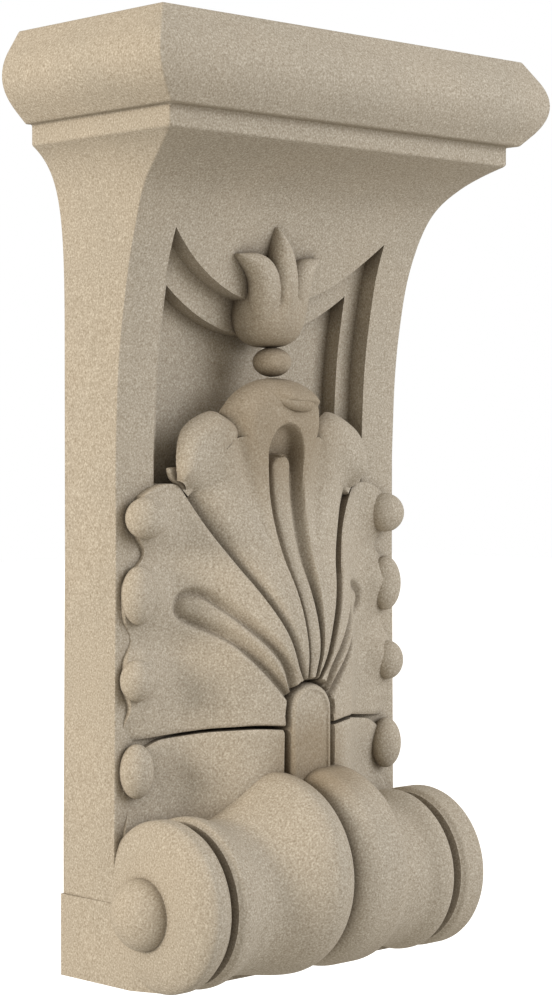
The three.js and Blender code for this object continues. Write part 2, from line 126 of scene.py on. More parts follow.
def signed_volume(made):
    """Volume inside a mesh: negative if its faces point inwards."""
    mesh = made.data
    mesh.calc_loop_triangles()
    corners = np.empty(len(mesh.vertices) * 3)
    mesh.vertices.foreach_get("co", corners)
    triangles = np.empty(len(mesh.loop_triangles) * 3, int)
    mesh.loop_triangles.foreach_get("vertices", triangles)
    a, b, c = corners.reshape(-1, 3)[triangles.reshape(-1, 3)].transpose(1, 0, 2)
    return np.einsum("ij,ij->i", a, np.cross(b, c)).sum() / 6


def faced_out(made):
    """Turns the faces round if they point inwards."""
    if signed_volume(made) < 0:
        made.data.flip_normals()
    return made


def closed_sheet(name, front, back_depth, root=(0, 0), drawn_in=0.0):
    """A solid whose face is a grid of (x, depth, z). Its back is flat, inside the block, and may be
    drawn in towards a root (x, z), by one share or by a share for each row."""
    rows, columns = front.shape[:2]
    share = np.broadcast_to(drawn_in, (rows,))[:, None]
    back = np.stack([mix(front[..., 0], root[0], share), np.full((rows, columns), float(back_depth)),
                     mix(front[..., 2], root[1], share)], -1)
    corners = np.concatenate([front.reshape(-1, 3), back.reshape(-1, 3)])
    index = np.arange(rows * columns).reshape(rows, columns)
    a, b, c, d = index[:-1, :-1], index[:-1, 1:], index[1:, 1:], index[1:, :-1]
    face = np.stack([a, b, c, d], -1).reshape(-1, 4)
    behind = rows * columns
    rim = np.concatenate([index[0, :-1], index[:-1, -1], index[-1, :0:-1], index[:0:-1, 0]])
    after = np.roll(rim, -1)
    sides = np.stack([after, rim, rim + behind, after + behind], -1)
    faces = np.concatenate([face, face[:, ::-1] + behind, sides])
    return faced_out(mesh_object(name, corners, faces.tolist()))


def closed_rings(name, rings, ends):
    """A closed form from rings of (x, depth, z) corners, with a point in the middle of each end."""
    count, segments = rings.shape[:2]
    first_end, last_row = count * segments, (count - 1) * segments
    faces = []
    for j in range(segments):
        k = (j + 1) % segments
        for row in range(0, last_row, segments):
            faces.append((row + j, row + k, row + segments + k, row + segments + j))
        faces.append((first_end, k, j))
        faces.append((first_end + 1, last_row + j, last_row + k))
    return faced_out(mesh_object(name, np.concatenate([rings.reshape(-1, 3), ends]), faces))


# %% [markdown]
# ## The camera
# The camera comes first, because every later step is judged through it. Its place was worked out from
# the block's square edges: it stands to the left of the corbel and a little above its middle, and looks
# almost level, so that upright edges stay upright.

# %% Camera at the photograph's angle
CAMERA_PLACE = (-0.82443, -0.91588, 0.02608)
CAMERA_TILT = 88.898
CAMERA_TURN = -43.559
SENSOR_WIDTH = 36
LENS = 87.45

camera = bpy.data.objects.new("camera", bpy.data.cameras.new("camera"))
bpy.context.scene.collection.objects.link(camera)
camera.location = CAMERA_PLACE
camera.rotation_euler = (math.radians(CAMERA_TILT), 0, math.radians(CAMERA_TURN))
camera.data.sensor_width = SENSOR_WIDTH
camera.data.lens = LENS
bpy.context.scene.camera = camera
print("camera stands", round(camera.location.length, 3), "m from the wall face's centre")

# %% [markdown]
# ## The block
# The mason first saws and dresses the block: a shaft, a hollow curve on the front and on both sides that
# carries the cap out, a flat band, and a thick nose. Seen from above, each of these is a rectangle, so
# the block is a stack of rectangles. The hollow curves give the rectangles their size, and a Bevel
# modifier takes the sharpness off the arrises, as handling does on real stone.

# %% Sizes of the shaft, the hollow curves and the cap
FOOT_HALF_WIDTH = 95.2
SHAFT_HALF_WIDTH = 94
SHAFT_DEPTH = 38.5
FOOT_TOP = 65
SHAFT_BOTTOM = 200
CAP_HEIGHT = 43.4
BAND_HEIGHT = 9.7
BAND_HALF_WIDTH = 113.5
BAND_DEPTH = 99.7
BAND_TOP = HEIGHT - CAP_HEIGHT
BAND_BOTTOM = BAND_TOP - BAND_HEIGHT
FRONT_COVE_BOTTOM = 250
SIDE_COVE_BOTTOM = 310
SIDE_NOSE = {"reach": 17.7, "step_below": 3.8, "step_above": 7.4}
FRONT_NOSE = {"reach": 14.1, "step_below": 5.6, "step_above": 3.9}
NOSE_MIDDLE = 20.9
NOSE_ROUND_BELOW = 0.75
NOSE_ROUND_ABOVE = 0.55
ARRIS = 0.9
ARRIS_ABOVE = 38

front_cove = [
    (SHAFT_DEPTH, FRONT_COVE_BOTTOM), (SHAFT_DEPTH + 2, FRONT_COVE_BOTTOM + 40),
    (SHAFT_DEPTH + 6, FRONT_COVE_BOTTOM + 69), (mix(SHAFT_DEPTH, BAND_DEPTH, 0.2), BAND_BOTTOM - 51),
    (mix(SHAFT_DEPTH, BAND_DEPTH, 0.39), BAND_BOTTOM - 25),
    (mix(SHAFT_DEPTH, BAND_DEPTH, 0.65), BAND_BOTTOM - 11), (BAND_DEPTH, BAND_BOTTOM),
]


def side_cove(z):
    """Half width of the block in the hollow curve of its sides, a single swept curve."""
    t = np.linspace(0, 1, 200)
    pulls = [(SHAFT_HALF_WIDTH, SIDE_COVE_BOTTOM), (SHAFT_HALF_WIDTH, BAND_BOTTOM - 28.6),
             (SHAFT_HALF_WIDTH + 3, BAND_BOTTOM - 11.3), (BAND_HALF_WIDTH, BAND_BOTTOM)]
    weights = [(1 - t) ** 3, 3 * t * (1 - t) ** 2, 3 * t * t * (1 - t), t ** 3]
    width, height = (sum(w * pull[axis] for w, pull in zip(weights, pulls)) for axis in (0, 1))
    return np.interp(z, height, width)


def nose_reach(nose, above):
    """How far a nose stands out past the band: round in the middle, straight at its edges."""
    lower = above < NOSE_MIDDLE
    span = NOSE_MIDDLE if lower else CAP_HEIGHT - NOSE_MIDDLE
    drop = nose["reach"] - (nose["step_below"] if lower else nose["step_above"])
    around = NOSE_ROUND_BELOW if lower else NOSE_ROUND_ABOVE
    share = min(1, abs(above - NOSE_MIDDLE) / span)
    bend = min(share, around) ** 2 + 2 * around * max(0, share - around)
    return nose["reach"] - drop * bend / (around * (2 - around))


# %% The block as a stack of rectangles
COVE_ROWS = 60
NOSE_ROWS = 28


def block_levels():
    """Height, half width and depth of each rectangle, from the underside up."""
    levels = [(0, FOOT_HALF_WIDTH, SHAFT_DEPTH), (FOOT_TOP, FOOT_HALF_WIDTH, SHAFT_DEPTH),
              (SHAFT_BOTTOM, SHAFT_HALF_WIDTH, SHAFT_DEPTH)]
    for share in np.linspace(0, 1, COVE_ROWS):
        depth, z = smooth_line(front_cove, share)
        levels.append((z, float(side_cove(z)), depth))
    levels.append((BAND_TOP, BAND_HALF_WIDTH, BAND_DEPTH))
    for above in np.linspace(0, CAP_HEIGHT, NOSE_ROWS):
        levels.append((BAND_TOP + above, BAND_HALF_WIDTH + nose_reach(SIDE_NOSE, above),
                       BAND_DEPTH + nose_reach(FRONT_NOSE, above)))
    return levels


def stacked(name, levels):
    corners, faces = [], []
    for z, half, depth in levels:
        corners += [(-half, 0, z), (-half, depth, z), (half, depth, z), (half, 0, z)]
    for row in range(len(levels) - 1):
        for side in range(4):
            a, b = 4 * row + side, 4 * row + (side + 1) % 4
            faces.append((a, b, b + 4, a + 4))
    top = 4 * len(levels) - 4
    faces += [(3, 2, 1, 0), (top, top + 1, top + 2, top + 3)]
    return mesh_object(name, corners, faces)


def settled(made):
    """Turns an object with modifiers into a plain mesh, and drops the modifiers."""
    graph = bpy.context.evaluated_depsgraph_get()
    mesh = bpy.data.meshes.new_from_object(made.evaluated_get(graph))
    made.modifiers.clear()
    made.data = mesh
    return made


corbel = stacked("corbel_stone", block_levels())
bevel = corbel.modifiers.new("arris", "BEVEL")
bevel.width = ARRIS * MM
bevel.segments = 2
bevel.angle_limit = math.radians(ARRIS_ABOVE)
bevel.use_clamp_overlap = True
settled(corbel)
print("block:", len(corbel.data.polygons), "faces")

# %% [markdown]
# ## The sunk panel
# The panel behind the flower is cut back in two steps that follow the hollow of the front. A carver
# sinks them with a chisel down to a drawn line, so the walls are straight and the corners crisp. Each
# step is modelled as the stone that is taken away, and a Boolean removes it.

# %% Cut the two steps of the panel
PANEL_BOTTOM = 205
PANEL_STEPS = {
    "outer": {"half_width": 70.5, "top": 357.5, "sag": 33.5, "sunk": 10.5},
    "inner": {"half_width": 60.5, "top": 331.5, "sag": 22.5, "sunk": 20},
}
PANEL_GRID = (59, 47)


def panel_cutter(name, half_width, top, sag, sunk):
    """Waste of one step: its back follows the front at its own depth, and its top edge sags."""
    across, up = grid(*PANEL_GRID, left=-1)
    z = mix(PANEL_BOTTOM, top - sag * (1 - across ** 2), up)
    face = np.stack([across * half_width, at_height(front_cove, z) - sunk, z], -1)
    return closed_sheet(name, face, 2 * BAND_DEPTH)


def combine(target, others, operation):
    """Joins other closed meshes to the target, or cuts them out of it, and deletes them."""
    for other in others:
        step = target.modifiers.new(other.name, "BOOLEAN")
        step.operation = operation
        step.solver = "MANIFOLD"
        step.object = other
    settled(target)
    for other in others:
        bpy.data.objects.remove(other)
    return target


cutters = [panel_cutter("waste_" + name, **sizes) for name, sizes in PANEL_STEPS.items()]
combine(corbel, cutters, "DIFFERENCE")
print("block with its panel:", len(corbel.data.polygons), "faces, volume",
      round(signed_volume(corbel) * 1e6), "cm3")

# %% [markdown]
# ## The rolled foot
# The foot is turned about one long axis: two fat bulges with a groove between them, then a waist, a
# ring, a deep groove and a disc at each end. It isn't quite even: the middle groove lies a little to
# the left, and the right ring stands nearer to it than the left one. Its shape follows one rule, the
# size and place of the circle at each station along its width. The rule is worked out first, as
# points that carry a radius.
# Geometry Nodes then move the corners of a plain cylinder out to these circles, row by row.

# %% One function that adds a node
def add(tree, kind, settings=None, inputs=None):
    """Adds a node, gives it its settings, and fills inputs by name or number with values or links."""
    node = tree.nodes.new(kind)
    for key, value in (settings or {}).items():
        setattr(node, key, value)
    for key, value in (inputs or {}).items():
        socket = node.inputs[key]
        if isinstance(value, bpy.types.Node):
            value = value.outputs[0]
        if isinstance(value, bpy.types.NodeSocket):
            tree.links.new(value, socket)
        else:
            socket.default_value = value
    return node


def new_tree(name, sizes):
    """A Geometry Nodes tree with one named input for each size."""
    tree = bpy.data.node_groups.new(name, "GeometryNodeTree")
    tree.interface.new_socket("Geometry", in_out="INPUT", socket_type="NodeSocketGeometry")
    for size in sizes:
        tree.interface.new_socket(size, in_out="INPUT", socket_type="NodeSocketFloat")
    tree.interface.new_socket("Material", in_out="INPUT", socket_type="NodeSocketMaterial")
    tree.interface.new_socket("Geometry", in_out="OUTPUT", socket_type="NodeSocketGeometry")
    return tree


def grown(made, tree, values, material):
    """Runs a tree on an object with its inputs set by identifier, and keeps the plain mesh."""
    step = made.modifiers.new("nodes", "NODES")
    step.node_group = tree
    for item in tree.interface.items_tree:
        if item.item_type == "SOCKET" and item.in_out == "INPUT" and item.name in values:
            step[item.identifier] = values[item.name]
        if item.item_type == "SOCKET" and item.name == "Material":
            step[item.identifier] = material
    return settled(made)


# %% The rule of the foot: a circle at each station along its width
DISC = {"radius": 40.3, "depth": 65.4, "face": 25, "edge": 7, "half_width": 95.5}
WAIST_RADIUS = 37
BULGE = {"radius": 48.7, "depth": 69.8, "height": 49.4}
LEFT_FALL = (22, 52)
RIGHT_FALL = (19, 39)
MIDDLE_GROOVE = {"x": -8, "half_width": 14, "depth": 11.5}
RIGHT_SHIFT = 5
FLARE = (57, 70)
RING_EDGE = {"start": 72, "end": 75.6, "drop": 2}
DISC_SHOULDER = {"start": 79.6, "end": 83.5, "drop": 2.6}
DISC_GROOVE = {"inner": (75.3, 76.2), "outer": (79.3, 80.1), "depth": 7}
STRAIGHT_STATIONS = 230
ROUND_STATIONS = 14


def foot_stations():
    """Places of the circles' centres as (x, depth, z), and their radii."""
    straight = DISC["half_width"] - DISC["edge"]
    rounding = straight + DISC["edge"] * np.sin(np.linspace(0, math.pi / 2, ROUND_STATIONS)[1:])
    x = np.concatenate([-rounding[::-1], np.linspace(-straight, straight, STRAIGHT_STATIONS), rounding])
    away = np.abs(x)
    fall = np.where(x < 0, soft_step(away, *LEFT_FALL), soft_step(away, *RIGHT_FALL))
    radius = mix(BULGE["radius"], WAIST_RADIUS, fall)
    inside = np.clip(1 - np.abs(x - MIDDLE_GROOVE["x"]) / MIDDLE_GROOVE["half_width"], 0, 1)
    radius -= MIDDLE_GROOVE["depth"] * (1 - np.sqrt(1 - inside ** 2))
    place = np.where(x < 0, away, away + RIGHT_SHIFT)
    radius += (DISC["radius"] - WAIST_RADIUS) * soft_step(place, *FLARE)
    ring = RING_EDGE["drop"] * soft_step(place, RING_EDGE["start"], RING_EDGE["end"])
    shoulder = DISC_SHOULDER["drop"] * (1 - soft_step(place, DISC_SHOULDER["start"], DISC_SHOULDER["end"]))
    sunk = soft_step(place, *DISC_GROOVE["inner"]) * (1 - soft_step(place, *DISC_GROOVE["outer"]))
    radius -= np.maximum(np.minimum(ring, shoulder), DISC_GROOVE["depth"] * sunk)
    past = np.clip((away - straight) / DISC["edge"], 0, 1)
    radius -= (DISC["radius"] - DISC["face"]) * (1 - np.sqrt(1 - past ** 2))
    depth = mix(BULGE["depth"], DISC["depth"], fall)
    return np.stack([x, depth, mix(BULGE["height"], DISC["radius"], fall)], -1), radius


station_places, station_radii = foot_stations()
print("foot:", len(station_radii), "stations, widest circle", station_radii.max(), "mm")

# %% The foot's tree: each row of a cylinder goes to its own circle
FOOT_INPUTS = {"Corners around": 108.0, "Steps": len(station_radii) - 1.0}


def foot_tree():
    tree = new_tree("rolled foot", FOOT_INPUTS)
    given = tree.nodes.new("NodeGroupInput").outputs
    rod = add(tree, "GeometryNodeMeshCylinder", None,
              {"Vertices": given["Corners around"], "Side Segments": given["Steps"],
               "Radius": 1, "Depth": 2})
    position = add(tree, "GeometryNodeInputPosition")
    corner = add(tree, "ShaderNodeSeparateXYZ", None, {0: position})
    share = add(tree, "ShaderNodeMapRange", None, {0: corner.outputs[2], 1: -1, 2: 1, 3: 0, 4: 1})
    row = add(tree, "ShaderNodeMath", {"operation": "MULTIPLY_ADD"},
              {0: share, 1: given["Steps"], 2: 0.5})
    centre = add(tree, "GeometryNodeSampleIndex", {"data_type": "FLOAT_VECTOR"},
                 {"Geometry": given["Geometry"], "Value": position, "Index": row})
    size = add(tree, "GeometryNodeInputNamedAttribute", {"data_type": "FLOAT"}, {"Name": "radius"})
    radius = add(tree, "GeometryNodeSampleIndex", {"data_type": "FLOAT"},
                 {"Geometry": given["Geometry"], "Value": size, "Index": row})
    around = add(tree, "ShaderNodeCombineXYZ", None, {1: corner.outputs[0], 2: corner.outputs[1]})
    arm = add(tree, "ShaderNodeVectorMath", {"operation": "SCALE"}, {0: around, "Scale": radius})
    moved = add(tree, "ShaderNodeVectorMath", {"operation": "ADD"}, {0: centre, 1: arm})
    shaped = add(tree, "GeometryNodeSetPosition", None, {"Geometry": rod, "Position": moved})
    real = add(tree, "GeometryNodeRealizeInstances", None, {"Geometry": shaped})
    stone = add(tree, "GeometryNodeSetMaterial", None, {"Geometry": real, "Material": given["Material"]})
    add(tree, "NodeGroupOutput", None, {"Geometry": stone})
    return tree


sandstone = bpy.data.materials.new("carved_sandstone")
foot = mesh_object("rolled_foot", station_places, [])
foot.data.attributes.new("radius", "FLOAT", "POINT").data.foreach_set(
    "value", np.array(station_radii * MM, np.float32))
faced_out(grown(foot, foot_tree(), FOOT_INPUTS, sandstone))
print("foot:", len(foot.data.polygons), "faces, volume", round(signed_volume(foot) * 1e6), "cm3")

# %% [markdown]
# Behind the discs the foot runs back square to the wall, and each disc carries a round boss. The square
# part narrows where it meets the disc, so that no corner shows under the disc's round edge.

# %% Square back of the foot, and a boss on each disc
SLAB_TOP = 39.3
SLAB_SQUARE_DEPTH = 50
SLAB_PROUD = 1.2
BOSS = {"depth": 59.5, "z": 37, "radius": 17, "reach": 13}


def ball(name, centre, radii, segments=48, rings=32):
    """A closed ball of (x, depth, z) radii, with its poles left and right."""
    centre, radii = np.array(centre, float), np.array(radii, float)
    polar = math.pi * np.arange(1, rings)[:, None] / rings
    turn = 2 * math.pi * np.arange(segments) / segments
    unit = [-np.cos(polar) * np.ones(segments), np.sin(polar) * np.cos(turn), np.sin(polar) * np.sin(turn)]
    pole = radii * [1, 0, 0]
    return closed_rings(name, centre + radii * np.stack(unit, -1), [centre - pole, centre + pole])


def foot_slab():
    """Rectangles from the wall out to the disc's middle, each narrower than the one behind it."""
    sections = [(0, FOOT_HALF_WIDTH + SLAB_PROUD), (SLAB_SQUARE_DEPTH, FOOT_HALF_WIDTH),
                (DISC["depth"], DISC["half_width"] - DISC["edge"])]
    corners, faces = [], []
    for depth, half in sections:
        corners += [(-half, depth, 0), (half, depth, 0), (half, depth, SLAB_TOP), (-half, depth, SLAB_TOP)]
    for row in range(len(sections) - 1):
        for side in range(4):
            a, b = 4 * row + side, 4 * row + (side + 1) % 4
            faces.append((a, b, b + 4, a + 4))
    faces += [(3, 2, 1, 0), (8, 9, 10, 11)]
    return faced_out(mesh_object("foot_slab", corners, faces))


bosses = [ball(f"boss_{name}", (side * DISC["half_width"], BOSS["depth"], BOSS["z"]),
               (BOSS["reach"], BOSS["radius"], BOSS["radius"]))
          for name, side in (("left", -1), ("right", 1))]
foot_parts = [foot, foot_slab(), *bosses]
print("bosses stand", BOSS["reach"], "mm off the discs")

# %% [markdown]
# ## The acanthus leaf
# The leaf is laid over the front like a real leaf pinned at its stalk: a tongue in the middle, a tall
# upper leaf with three curled tips, a broad lobe on each side and a low lobe under it. A carver first
# leaves the swell of the whole leaf, high in the middle and flat towards the margins, and then cuts
# grooves along its ribs. The meshes are made in that order too: a grid that follows the ribs, a depth
# from the swell, and grooves sunk by their distance to drawn lines.

# %% The swell of the leaf
LEAF_BACK = 15
TONGUE = {"half_width": 13.8, "top": 139.5, "bottom": 62, "depth": 75, "bevel": 3.5}
GAP_WIDTH = 3
GAP_DEPTH = 8
spine = [(74, 80), (75, 120), (75.5, 139), (78.2, 155), (77, 170), (72.8, 185),
         (66, 200), (61, 215), (57.5, 232), (57, 250), (59, 268), (60, 290)]
crown = [(1, 0), (0.92, 20), (0.68, 36), (0.335, 48), (0.07, 60), (0, 75), (0, 95)]
margin = [(44, 0), (44.2, 30), (44, 62), (42.5, 78), (40.3, 92)]


def from_tongue(x, z):
    """Distance outside the tongue's outline, seen from the front."""
    above = np.maximum(0, z - (TONGUE["top"] - TONGUE["half_width"]))
    return np.hypot(x, above) - TONGUE["half_width"]


def swell(x, z):
    """High along the middle line, low at the margins, and let down into a gap round the tongue."""
    away = np.abs(x)
    gap = 1 - soft_step(from_tongue(x, z), 0, GAP_WIDTH)
    return mix(at_height(margin, away), at_height(spine, z), at_height(crown, away)) - GAP_DEPTH * gap


def drawn(points):
    """A smooth line as sixty short steps."""
    return smooth_line(points, np.linspace(0, 1, 61))


def distance_to(line, x, z):
    """Distance of many points to a drawn line, and the share of its way at the nearest place."""
    nearest = np.full(np.shape(x), np.inf)
    place = np.zeros(np.shape(x))
    for i, (a, b) in enumerate(zip(line[:-1], line[1:])):
        step = b - a
        share = np.clip(((x - a[0]) * step[0] + (z - a[1]) * step[1]) / (step @ step), 0, 1)
        away = np.hypot(x - a[0] - share * step[0], z - a[1] - share * step[1])
        place = np.where(away < nearest, (i + share) / (len(line) - 1), place)
        nearest = np.minimum(nearest, away)
    return nearest, place


def along_way(values, place):
    """A size that changes evenly along a line's way."""
    return np.interp(place, np.linspace(0, 1, len(values)), values)


def groove(line, x, z, width, depth):
    """A groove with soft shoulders along a line. Its width and depth may change on the way."""
    away, place = distance_to(drawn(line), x, z)
    return along_way(depth, place) * np.exp(-(away / along_way(width, place)) ** 2)


# %% [markdown]
# The upper leaf has a narrow finger up its middle that stands in a channel, and the channel opens into
# an eyelet under the middle tip. Where the upper leaf meets the side lobe it dips under the lobe's
# crisp edge. The grid runs along four ribs: the middle, the finger's edge, the crest and the outer edge.
# Its upper end rises between the ribs, to fill the notches between the tips. The factor 27 / 4 makes
# that rise whole at its highest place, a third of the way from the crest to the edge.

# %% Ribs of the upper leaf
lobe_edge = [(4, 138), (9.8, 148), (16.1, 163.3), (24.5, 178.8), (34.9, 196.6), (45.6, 214.3),
             (54.3, 228.3), (59.5, 236)]
finger_rib = [(1.2, 136), (3.6, 157), (4, 178), (4.1, 202), (5.3, 226), (6, 250)]
crest_rib = [(2.6, 136), (5, 157), (6.6, 178), (9, 202), (10.8, 226), (12, 250)]
edge_rib = [(7, 135), (12.5, 151), (22, 170), (33.5, 191), (46.8, 213), (59, 234)]
FINGER_SHARE = 0.16
CREST_SHARE = 0.4
NOTCH_RISE = 14
NOTCH_FROM = 0.7
UPPER_GRID = (150, 130)
FREE_FROM = 205
LEAF_ROOT = (0, 225)
DRAWN_IN = 0.85


def upper_place(across, along):
    """(x, z) of grid places, across from edge to edge as -1 to 1 and along from the tongue up."""
    share = np.abs(across)[..., None]
    finger, crest, edge = (smooth_line(rib, along) for rib in (finger_rib, crest_rib, edge_rib))
    inner = mix(finger * [0, 1], finger, share / FINGER_SHARE)
    channel = mix(finger, crest, (share - FINGER_SHARE) / (CREST_SHARE - FINGER_SHARE))
    outer = mix(crest, edge, (share - CREST_SHARE) / (1 - CREST_SHARE))
    place = np.where(share <= FINGER_SHARE, inner, np.where(share <= CREST_SHARE, channel, outer))
    past = np.clip((share[..., 0] - CREST_SHARE) / (1 - CREST_SHARE), 0, 1)
    bulge = past * (1 - past) ** 2 * 27 / 4
    risen = NOTCH_RISE * bulge * soft_step(along, NOTCH_FROM, 1)
    return place[..., 0] * np.sign(across), place[..., 1] + risen


# %% The finger in its channel, the eyelet and the dip under the side lobes
FINGER_TIP = {"z": 244, "radius": 6}
EYELET = {"z": 250, "half_width": 12, "height": 16, "depth": 10, "rise": 0.5}
EYELET_RIM = 2.5
EYELET_RUN_IN = 35
CHANNEL_HEIGHTS = [138, 146, 165, 240, EYELET["z"]]
CHANNEL_DEPTHS = [2.5, 4, 5.5, 7, EYELET["depth"]]
FINGER_DROP = {"from": 150, "to": 205, "drop": 3, "rounding": 1.2}
DIP = {"widths": [1.2, 2.2, 3, 4, 5, 6, 6.5], "depths": [3, 5, 5.5, 6, 6, 6, 5.5], "top": 236}
NOTCH_VALLEY = [(30, 266), (23, 240), (17, 215), (13, 195)]


def finger_half_width(z):
    straight = at_height(finger_rib, z)
    tip = np.sqrt(np.maximum(0, FINGER_TIP["radius"] ** 2 - (z - FINGER_TIP["z"]) ** 2))
    return np.where(z > FINGER_TIP["z"], tip, straight)


def channel_relief(x, z):
    """The channel on both sides of the finger, and the eyelet that it opens into."""
    away = np.abs(x)
    wide = at_height(crest_rib, z)
    high = np.hypot(x / EYELET["half_width"], (z - EYELET["z"]) / EYELET["height"])
    inside = np.where(z > EYELET["z"], (1 - high) * EYELET["half_width"], wide - away)
    half = finger_half_width(z)
    tip_away = np.hypot(x, z - FINGER_TIP["z"]) - FINGER_TIP["radius"]
    from_finger = np.where(z > FINGER_TIP["z"], tip_away, away - half)
    crisp = soft_step(z, EYELET["z"] - EYELET_RUN_IN, EYELET["z"])
    width = mix(np.maximum(1, 0.8 * (wide - at_height(finger_rib, z))), EYELET_RIM, crisp)
    shoulder = mix(0.35, 0.1, crisp)
    rim = soft_step(inside / width, -shoulder, 1 - shoulder)
    wall = soft_step(from_finger, -0.3, np.clip(0.35 * (wide - half), 0.4, 1.4))
    depth = np.interp(z, CHANNEL_HEIGHTS, CHANNEL_DEPTHS)
    depth = depth * (1 - EYELET["rise"] * np.clip((z - EYELET["z"]) / EYELET["height"], 0, 1))
    top_of_finger = np.clip(away / np.maximum(half, 0.5), 0, 1)
    drop = FINGER_DROP["drop"] * soft_step(z, FINGER_DROP["from"], FINGER_DROP["to"])
    drop = drop + FINGER_DROP["rounding"] * top_of_finger ** 3
    on_finger = (1 - wall) * np.where(z < EYELET["z"], 1, 0)
    return -rim * (depth * wall + np.minimum(drop, depth) * on_finger)


def body_relief(x, z):
    away = np.abs(x)
    relief = channel_relief(x, z)
    under_lobe, place = distance_to(drawn(lobe_edge), away, z)
    width = along_way(DIP["widths"], place)
    depth = along_way(DIP["depths"], place)
    past = away > np.interp(z, drawn(lobe_edge)[:, 1], drawn(lobe_edge)[:, 0])
    relief = relief - depth * np.where(past & (z < DIP["top"]), 1, np.exp(-(under_lobe / width) ** 2))
    return relief - groove(NOTCH_VALLEY, away, z, [5, 5, 4, 3], [4.2, 2.6, 1.4, 0])


def upper_leaf():
    across, along = grid(*UPPER_GRID, left=-1)
    x, z = upper_place(across, along)
    free = DRAWN_IN * soft_step(z[:, 0], FREE_FROM, z.max())
    face = np.stack([x, swell(x, z) + body_relief(x, z), z], -1)
    return closed_sheet("upper_leaf", face, LEAF_BACK, LEAF_ROOT, free)


leaf_parts = [upper_leaf()]
print("upper leaf:", len(leaf_parts[0].data.polygons), "faces")

# %% [markdown]
# The three tips curl back. Each is a sheet whose rows run parallel to its outline, so that the curl is
# even all the way round. The middle tip rolls back from its whole outline and folds a small lip over the
# eyelet. A side tip comes forward of the leaf's swell, rolls back across its own slanting direction, as
# it grows outwards, and is round at its edge. The left one is seen against the panel and the right one
# along its edge, so each has its own outline.

# %% Sheets whose rows follow an outline
PROUD = 0.12
TIP_COLUMNS = 96
ROW_CROWDING = 1.3


def tip_sheet(name, outline, root, rows, relief, stalk):
    """A sheet between an outline and its root line, a hair proud of the leaf that it grows from.
    Its back is drawn in to a stalk, because a curled tip is cut free of the ground behind it."""
    u, v = grid(TIP_COLUMNS, rows)
    v = v ** ROW_CROWDING
    place = mix(smooth_line(outline, u), smooth_line(root, u), v[..., None])
    x, z = place[..., 0], place[..., 1]
    depth = swell(x, z) + relief(x, z) + mix(PROUD, -1.5, soft_step(v, 0.9, 1))
    return closed_sheet(name, np.stack([x, depth, z], -1), LEAF_BACK, stalk, DRAWN_IN)


# %% The middle tip, with its lip over the eyelet
MIDDLE_TIP = {"left": 34.5, "right": 31, "z": 260, "height": 28, "power": 2.3}
MIDDLE_ROLL = 12
UNDER_LIP = [(-9, 274), (4, 270.5), (20, 270)]
LIP = {"line": [(-10, 279), (-3, 276.8), (6, 275.8), (15, 276), (23, 275.5)], "rise": 3, "tall": 12,
       "from": (-10, 2), "until": (23, 31)}
turn = np.linspace(0, math.pi, 40)
shape = 2 / MIDDLE_TIP["power"]
reach = np.where(turn < math.pi / 2, MIDDLE_TIP["left"], MIDDLE_TIP["right"])
middle_outline = np.stack([
    -reach * np.sign(np.cos(turn)) * np.abs(np.cos(turn)) ** shape,
    MIDDLE_TIP["z"] + MIDDLE_TIP["height"] * np.sin(turn) ** shape], -1)
middle_outline = np.concatenate([[(-28, 248)], middle_outline, [(28, 248)]])


def rolled(away, radius):
    """How far a surface has fallen, as it rolls back to an outline this far away."""
    under = np.clip(1 - away / radius, 0, 1)
    return radius * (1 - np.sqrt(1 - under ** 2))


def middle_relief(x, z):
    away, _ = distance_to(middle_outline, x, z)
    above = z - np.interp(x, *np.transpose(LIP["line"]))
    lip = soft_step(above, -1.5, 1.5) * (1 - soft_step(above, 2, LIP["tall"]))
    lip = LIP["rise"] * lip * soft_step(x, *LIP["from"]) * (1 - soft_step(x, *LIP["until"]))
    hollow = groove(UNDER_LIP, x, z, [2, 3, 3], [0, 1.5, 1])
    return body_relief(x, z) - rolled(away, MIDDLE_ROLL) + lip - hollow


MIDDLE_ROOT = [(-13, 243), (-6, 243), (6, 243), (13, 243)]
MIDDLE_STALK = (0, 238)
leaf_parts.append(tip_sheet("middle_tip", middle_outline, MIDDLE_ROOT, 70, middle_relief, MIDDLE_STALK))

# %% The side tips and the small ledge beside each
NOTCH_END = [(25.8, 264.3), (25, 256), (27, 247)]
SIDE_OUTLINES = {
    "left": [(-x, z) for x, z in [(61.5, 238), (62.5, 245), (60.5, 254), (56, 262), (48, 268), (39, 271.5),
                                  (34, 269.8), *NOTCH_END]],
    "right": [(61.5, 238), (64.8, 245), (66, 257), (63.3, 265), (55, 269.5), (43, 272), (35.5, 270),
              *NOTCH_END]}
SIDE_ROOT = [(52, 231), (45, 233), (38, 235), (31, 237)]
LEDGE_ROOT = [(54, 230), (50, 233), (47, 236)]
SIDE_STALK = (20, 232)
FOLD_LINE = {"from": (60.5, 242), "to": (29, 264.5)}
LEDGE_OUTLINE = [(58, 234.5), (63, 238.4), (65, 243), (63.5, 244.3), (56, 244.3), (49, 244.3)]
LEDGE_ROUND = 1.6
LEDGE_DROP = 1.5
SIDE_FRONT = 52.5
FORWARD_FROM = -16
SIDE_ROLL = 24
EDGE_ROUND = 7


